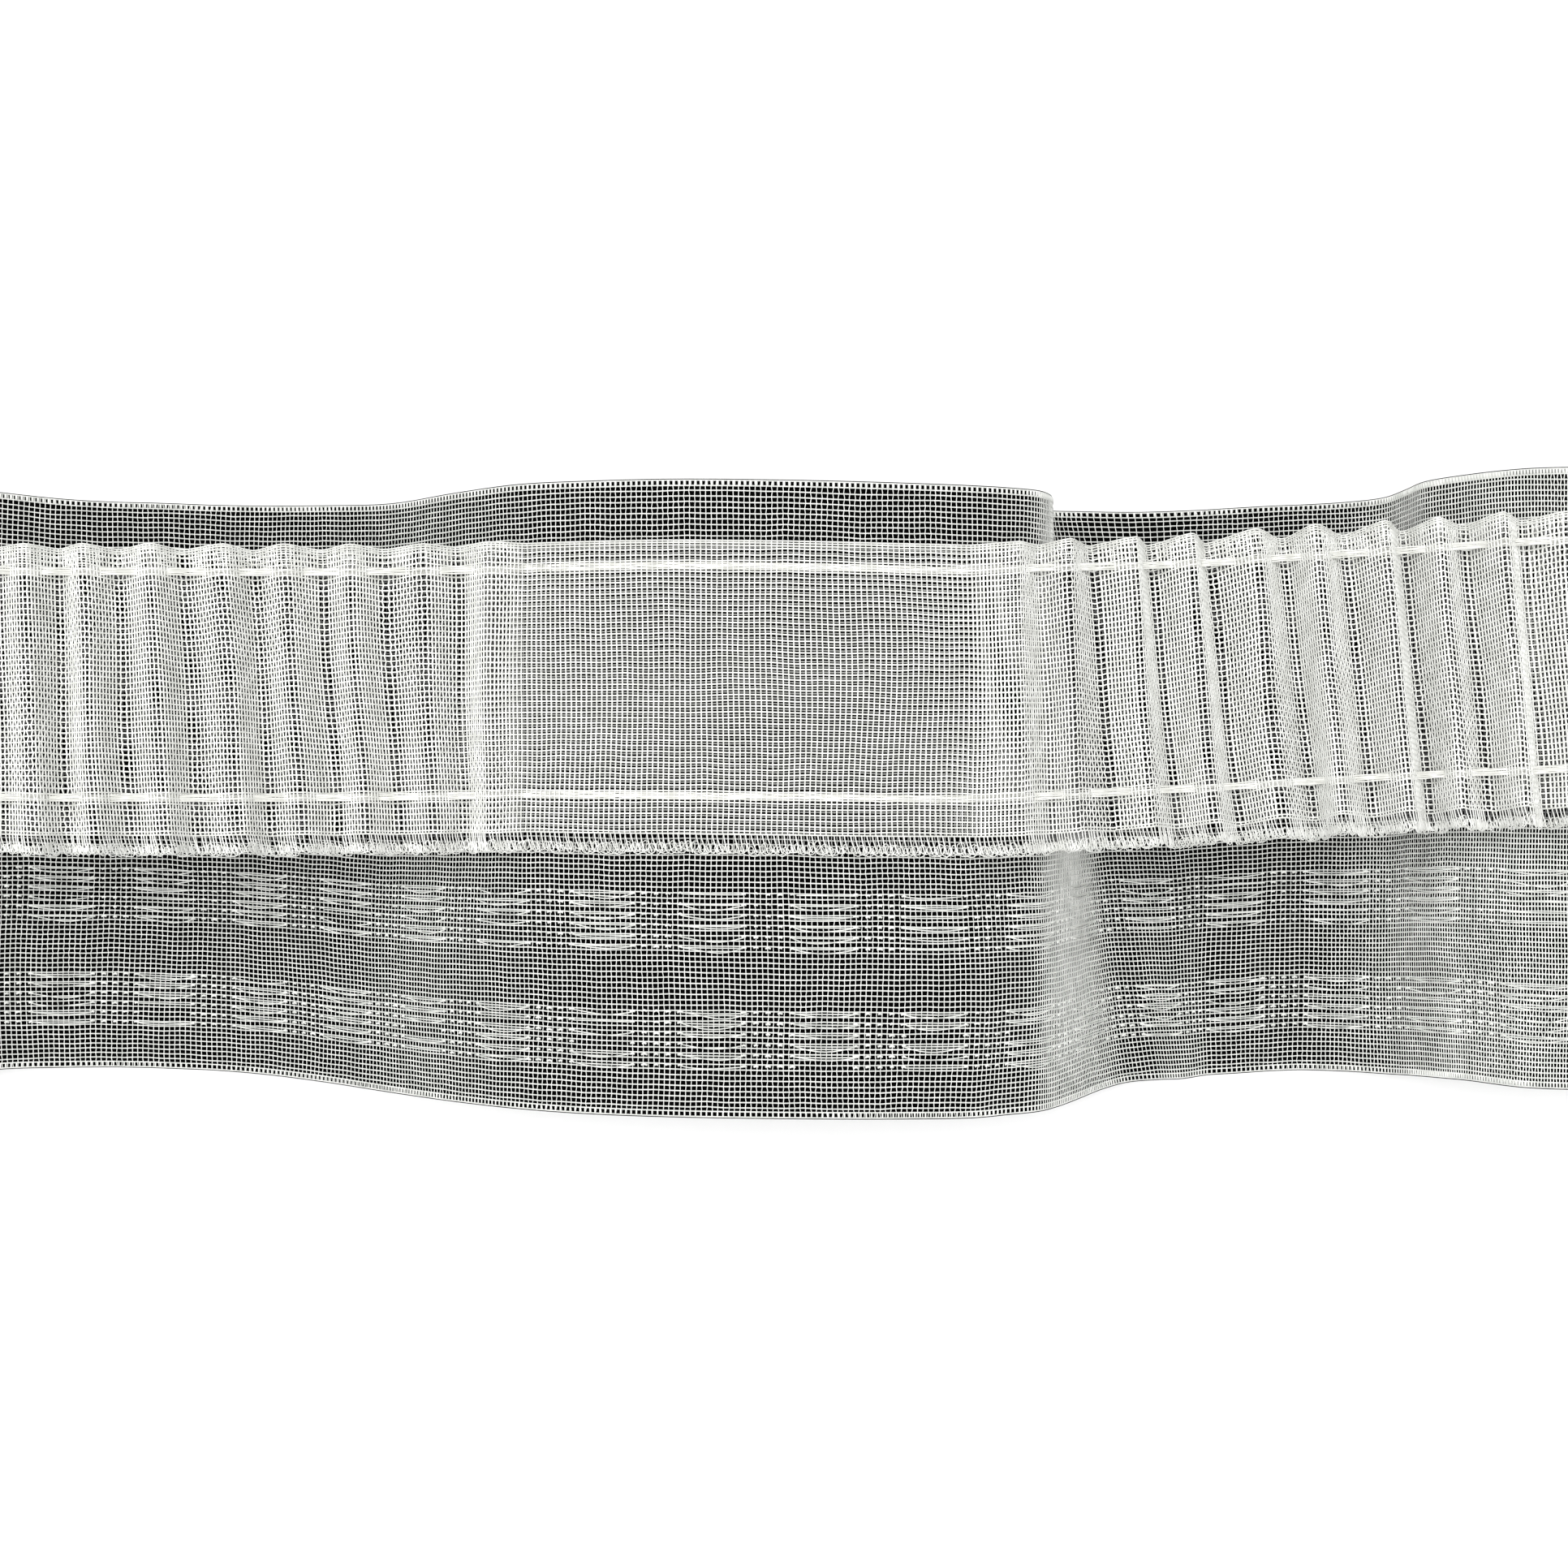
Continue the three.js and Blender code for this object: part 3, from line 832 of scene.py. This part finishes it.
def cord_strands(inset, rng):
    """A flat draw cord, as strands side by side."""
    spread = np.linspace(-1, 1, STRANDS) * (CORD_WIDTH - STRAND_WIDTH) / 2
    lines = np.repeat(cord_route(inset)[None], STRANDS, axis=0)
    stray_across, stray_up = STRAND_STRAY
    lines[:, :, 1] += spread[:, None] + rng.normal(0, stray_across, lines.shape[:2])
    lines[:, :, 2] += rng.normal(0, stray_up, lines.shape[:2])
    facing = np.broadcast_to(np.array([0.0, 0.0, 1.0]), lines.shape)
    return tubes(lines, facing, STRAND_WIDTH, STRAND_THICKNESS, sides=4)


def cloth_material(name, tones, roughness):
    """Off-white yarn, a little uneven in tone, with a fine fibrous bump."""
    material = bpy.data.materials.new(name)
    material.use_nodes = True
    nodes, links = material.node_tree.nodes, material.node_tree.links
    shader = nodes["Principled BSDF"]
    shader.inputs["Roughness"].default_value = roughness
    shader.inputs["Specular IOR Level"].default_value = YARN_GLOSS
    shader.inputs["Sheen Weight"].default_value = YARN_SHEEN
    shader.inputs["Sheen Roughness"].default_value = SHEEN_ROUGHNESS
    place = nodes.new("ShaderNodeTexCoord")
    tone = nodes.new("ShaderNodeTexNoise")
    tone.inputs["Scale"].default_value = TONE_WAVES
    tone.inputs["Detail"].default_value = TONE_DETAIL
    ramp = nodes.new("ShaderNodeValToRGB")
    for element, position, colour in zip(ramp.color_ramp.elements, TONE_CHANGES, tones):
        element.position = position
        element.color = (*colour, 1)
    fibre = nodes.new("ShaderNodeTexNoise")
    fibre.inputs["Scale"].default_value = FIBRE_WAVES
    fibre.inputs["Detail"].default_value = FIBRE_DETAIL
    bump = nodes.new("ShaderNodeBump")
    bump.inputs["Strength"].default_value = FIBRE_STRENGTH
    bump.inputs["Distance"].default_value = FIBRE_HEIGHT
    links.new(place.outputs["Object"], tone.inputs["Vector"])
    links.new(place.outputs["Object"], fibre.inputs["Vector"])
    links.new(tone.outputs["Fac"], ramp.inputs["Fac"])
    links.new(ramp.outputs["Color"], shader.inputs["Base Color"])
    links.new(fibre.outputs["Fac"], bump.inputs["Height"])
    links.new(bump.outputs["Normal"], shader.inputs["Normal"])
    return material


def shaded(material):
    """Darkens a material by the shade that its pieces' corners store: painted shade in its colour."""
    nodes, links = material.node_tree.nodes, material.node_tree.links
    amount = nodes.new("ShaderNodeAttribute")
    amount.attribute_name = "shade"
    mix = nodes.new("ShaderNodeMixRGB")
    mix.inputs["Color2"].default_value = (*SHADE_COLOUR, 1)
    colour = nodes["Principled BSDF"].inputs["Base Color"]
    links.new(amount.outputs["Fac"], mix.inputs["Fac"])
    links.new(colour.links[0].from_socket, mix.inputs["Color1"])
    links.new(mix.outputs["Color"], colour)
    return material


def plain_material(name, colour, roughness):
    """One even colour without gloss."""
    material = bpy.data.materials.new(name)
    material.use_nodes = True
    shader = material.node_tree.nodes["Principled BSDF"]
    shader.inputs["Base Color"].default_value = (*colour, 1)
    shader.inputs["Roughness"].default_value = roughness
    shader.inputs["Specular IOR Level"].default_value = 0
    return material


def make_camera():
    """A camera that looks straight down, framed as the photograph is."""
    data = bpy.data.cameras.new("camera")
    data.sensor_width = SENSOR_MM
    data.lens = SENSOR_MM * PHOTO_FOCAL / PHOTO_SIDE
    data.shift_y = (PHOTO_ROW_BELOW_CAMERA - PHOTO_SIDE / 2) / PHOTO_SIDE
    data.clip_start = NEAREST_IN_VIEW
    camera = bpy.data.objects.new("camera", data)
    camera.location = CAMERA_PLACE
    bpy.context.scene.collection.objects.link(camera)
    bpy.context.scene.camera = camera


def make_cords(rng):
    """Both draw cords, in place of the solid ones."""
    finish = cloth_material("cord_yarn", CORD_TONES, CORD_ROUGHNESS)
    for name, inset in CORD_INSETS.items():
        cord = new_piece(f"cord_{name}", [cord_strands(inset, rng)], finish)
        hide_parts(f"draw_cord_{name}")


def make_base(base, band, weave, rng):
    """The base tape: its mesh, selvages and woven blocks, its yarns painted darker as shade under the
    band, on a thin dark sheet that paints shade into its holes.
    """
    # The base's yarns have painted shade under the band
    finish = shaded(cloth_material("base_yarn_painted_shade", BASE_TONES, BASE_ROUGHNESS))
    warps = warp_places()
    low_ends = BASE_WIDTH - np.array(BASE_WEFT_ENDS[::-1])
    corners = np.concatenate([BASE_WEFT_ENDS, warps, low_ends])
    parts = {
        "warps": [weave.warps(base, 0, warps, BASE_WARP)],
        "selvages": selvage(base, 0, 1, TOP_STITCH) + selvage(base, BASE_WIDTH, -1, LOW_STITCH),
        "floats": [floats(base, rng)],
        "knots": [knots(base, rng)],
    }
    for name, numbers in halves(base.wefts()):
        yarns = weave.wefts(base, 0, numbers, corners, BASE_PINCH, BASE_PINCH_LEAST)
        parts[f"wefts_{name}"] = [yarns]
    for name, part in parts.items():
        piece = new_piece(f"base_{name}", part, finish)
        give_shade(piece, band, base)
    # A dark sheet under the mesh, which paints shade into its holes
    shade_sheet_finish = plain_material("painted_shade_sheet", SHADE_SHEET_COLOUR, 1)
    shade_sheet = new_piece("base_shade_sheet", [sheet_grid(base, SHADE_SHEET_OVERLAP)], shade_sheet_finish)
    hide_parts("base_tape")


def make_band(base, band, weave, rng):
    """The gathering band: its hems, fringe and edge loops, and its mesh."""
    finish = cloth_material("band_yarn", BAND_TONES, BAND_ROUGHNESS)
    warps = warp_places() + WARP_PITCH / 2 - BAND_INSET
    first, last = BAND_WARP_REACH
    warps = warps[(warps > first) & (warps < last)]
    corners = np.concatenate([BAND_WEFT_ENDS, warps, LOW_HEM])
    edge_parts = [hem(band, TOP_HEM), hem(band, LOW_HEM), fringe(band, rng)]
    edge_parts += [edge_loops(band, rng, first_turn) for first_turn in LOOP_CHAINS]
    band_edges = new_piece("band_edges", edge_parts, finish)
    pinch = band_pinch(band, base)
    net_parts = [
        weave.warps(band, BAND_INSET, warps, BAND_WARP, is_roof=True),
        weave.wefts(band, BAND_INSET, band.wefts(), corners, pinch, BAND_PINCH_LEAST, is_roof=True),
    ]
    band_net = new_piece("band_net", net_parts, finish)
    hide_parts("front_band")


def make_floor():
    """A large pale floor."""
    mesh = bpy.data.meshes.new("floor")
    sides = ((-1, -1), (1, -1), (1, 1), (-1, 1))
    corners = [(x * FLOOR_REACH, y * FLOOR_REACH, 0) for x, y in sides]
    mesh.from_pydata(corners, [], [(0, 1, 2, 3)])
    mesh.materials.append(plain_material("pale_floor", FLOOR_COLOUR, FLOOR_ROUGHNESS))
    floor = bpy.data.objects.new("floor", mesh)
    bpy.context.scene.collection.objects.link(floor)


def make_light():
    """Even, soft light: a white sky, and a large lamp overhead."""
    world = bpy.data.worlds.new("studio")
    world.use_nodes = True
    sky = world.node_tree.nodes["Background"]
    sky.inputs["Color"].default_value = (1, 1, 1, 1)
    sky.inputs["Strength"].default_value = SKY_STRENGTH
    bpy.context.scene.world = world
    data = bpy.data.lights.new("overhead", "AREA")
    data.shape = "SQUARE"
    data.size = LAMP_SIDE
    data.energy = LAMP_ENERGY
    lamp = bpy.data.objects.new("overhead", data)
    lamp.location = LAMP_PLACE
    lamp.rotation_euler = [math.radians(angle) for angle in LAMP_TILT]
    bpy.context.scene.collection.objects.link(lamp)
    bpy.context.scene.view_settings.view_transform = "Standard"


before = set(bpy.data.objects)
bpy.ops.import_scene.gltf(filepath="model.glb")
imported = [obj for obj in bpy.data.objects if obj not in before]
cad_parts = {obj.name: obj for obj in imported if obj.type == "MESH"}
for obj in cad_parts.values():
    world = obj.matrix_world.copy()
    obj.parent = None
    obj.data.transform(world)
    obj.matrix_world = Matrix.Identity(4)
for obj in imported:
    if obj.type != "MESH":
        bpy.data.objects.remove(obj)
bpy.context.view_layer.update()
rng = np.random.default_rng(SEED)
make_camera()
make_cords(rng)
weave = Weave(rng)
base = base_cloth()
band = band_cloth()
make_base(base, band, weave, rng)
make_band(base, band, weave, rng)
make_floor()
make_light()
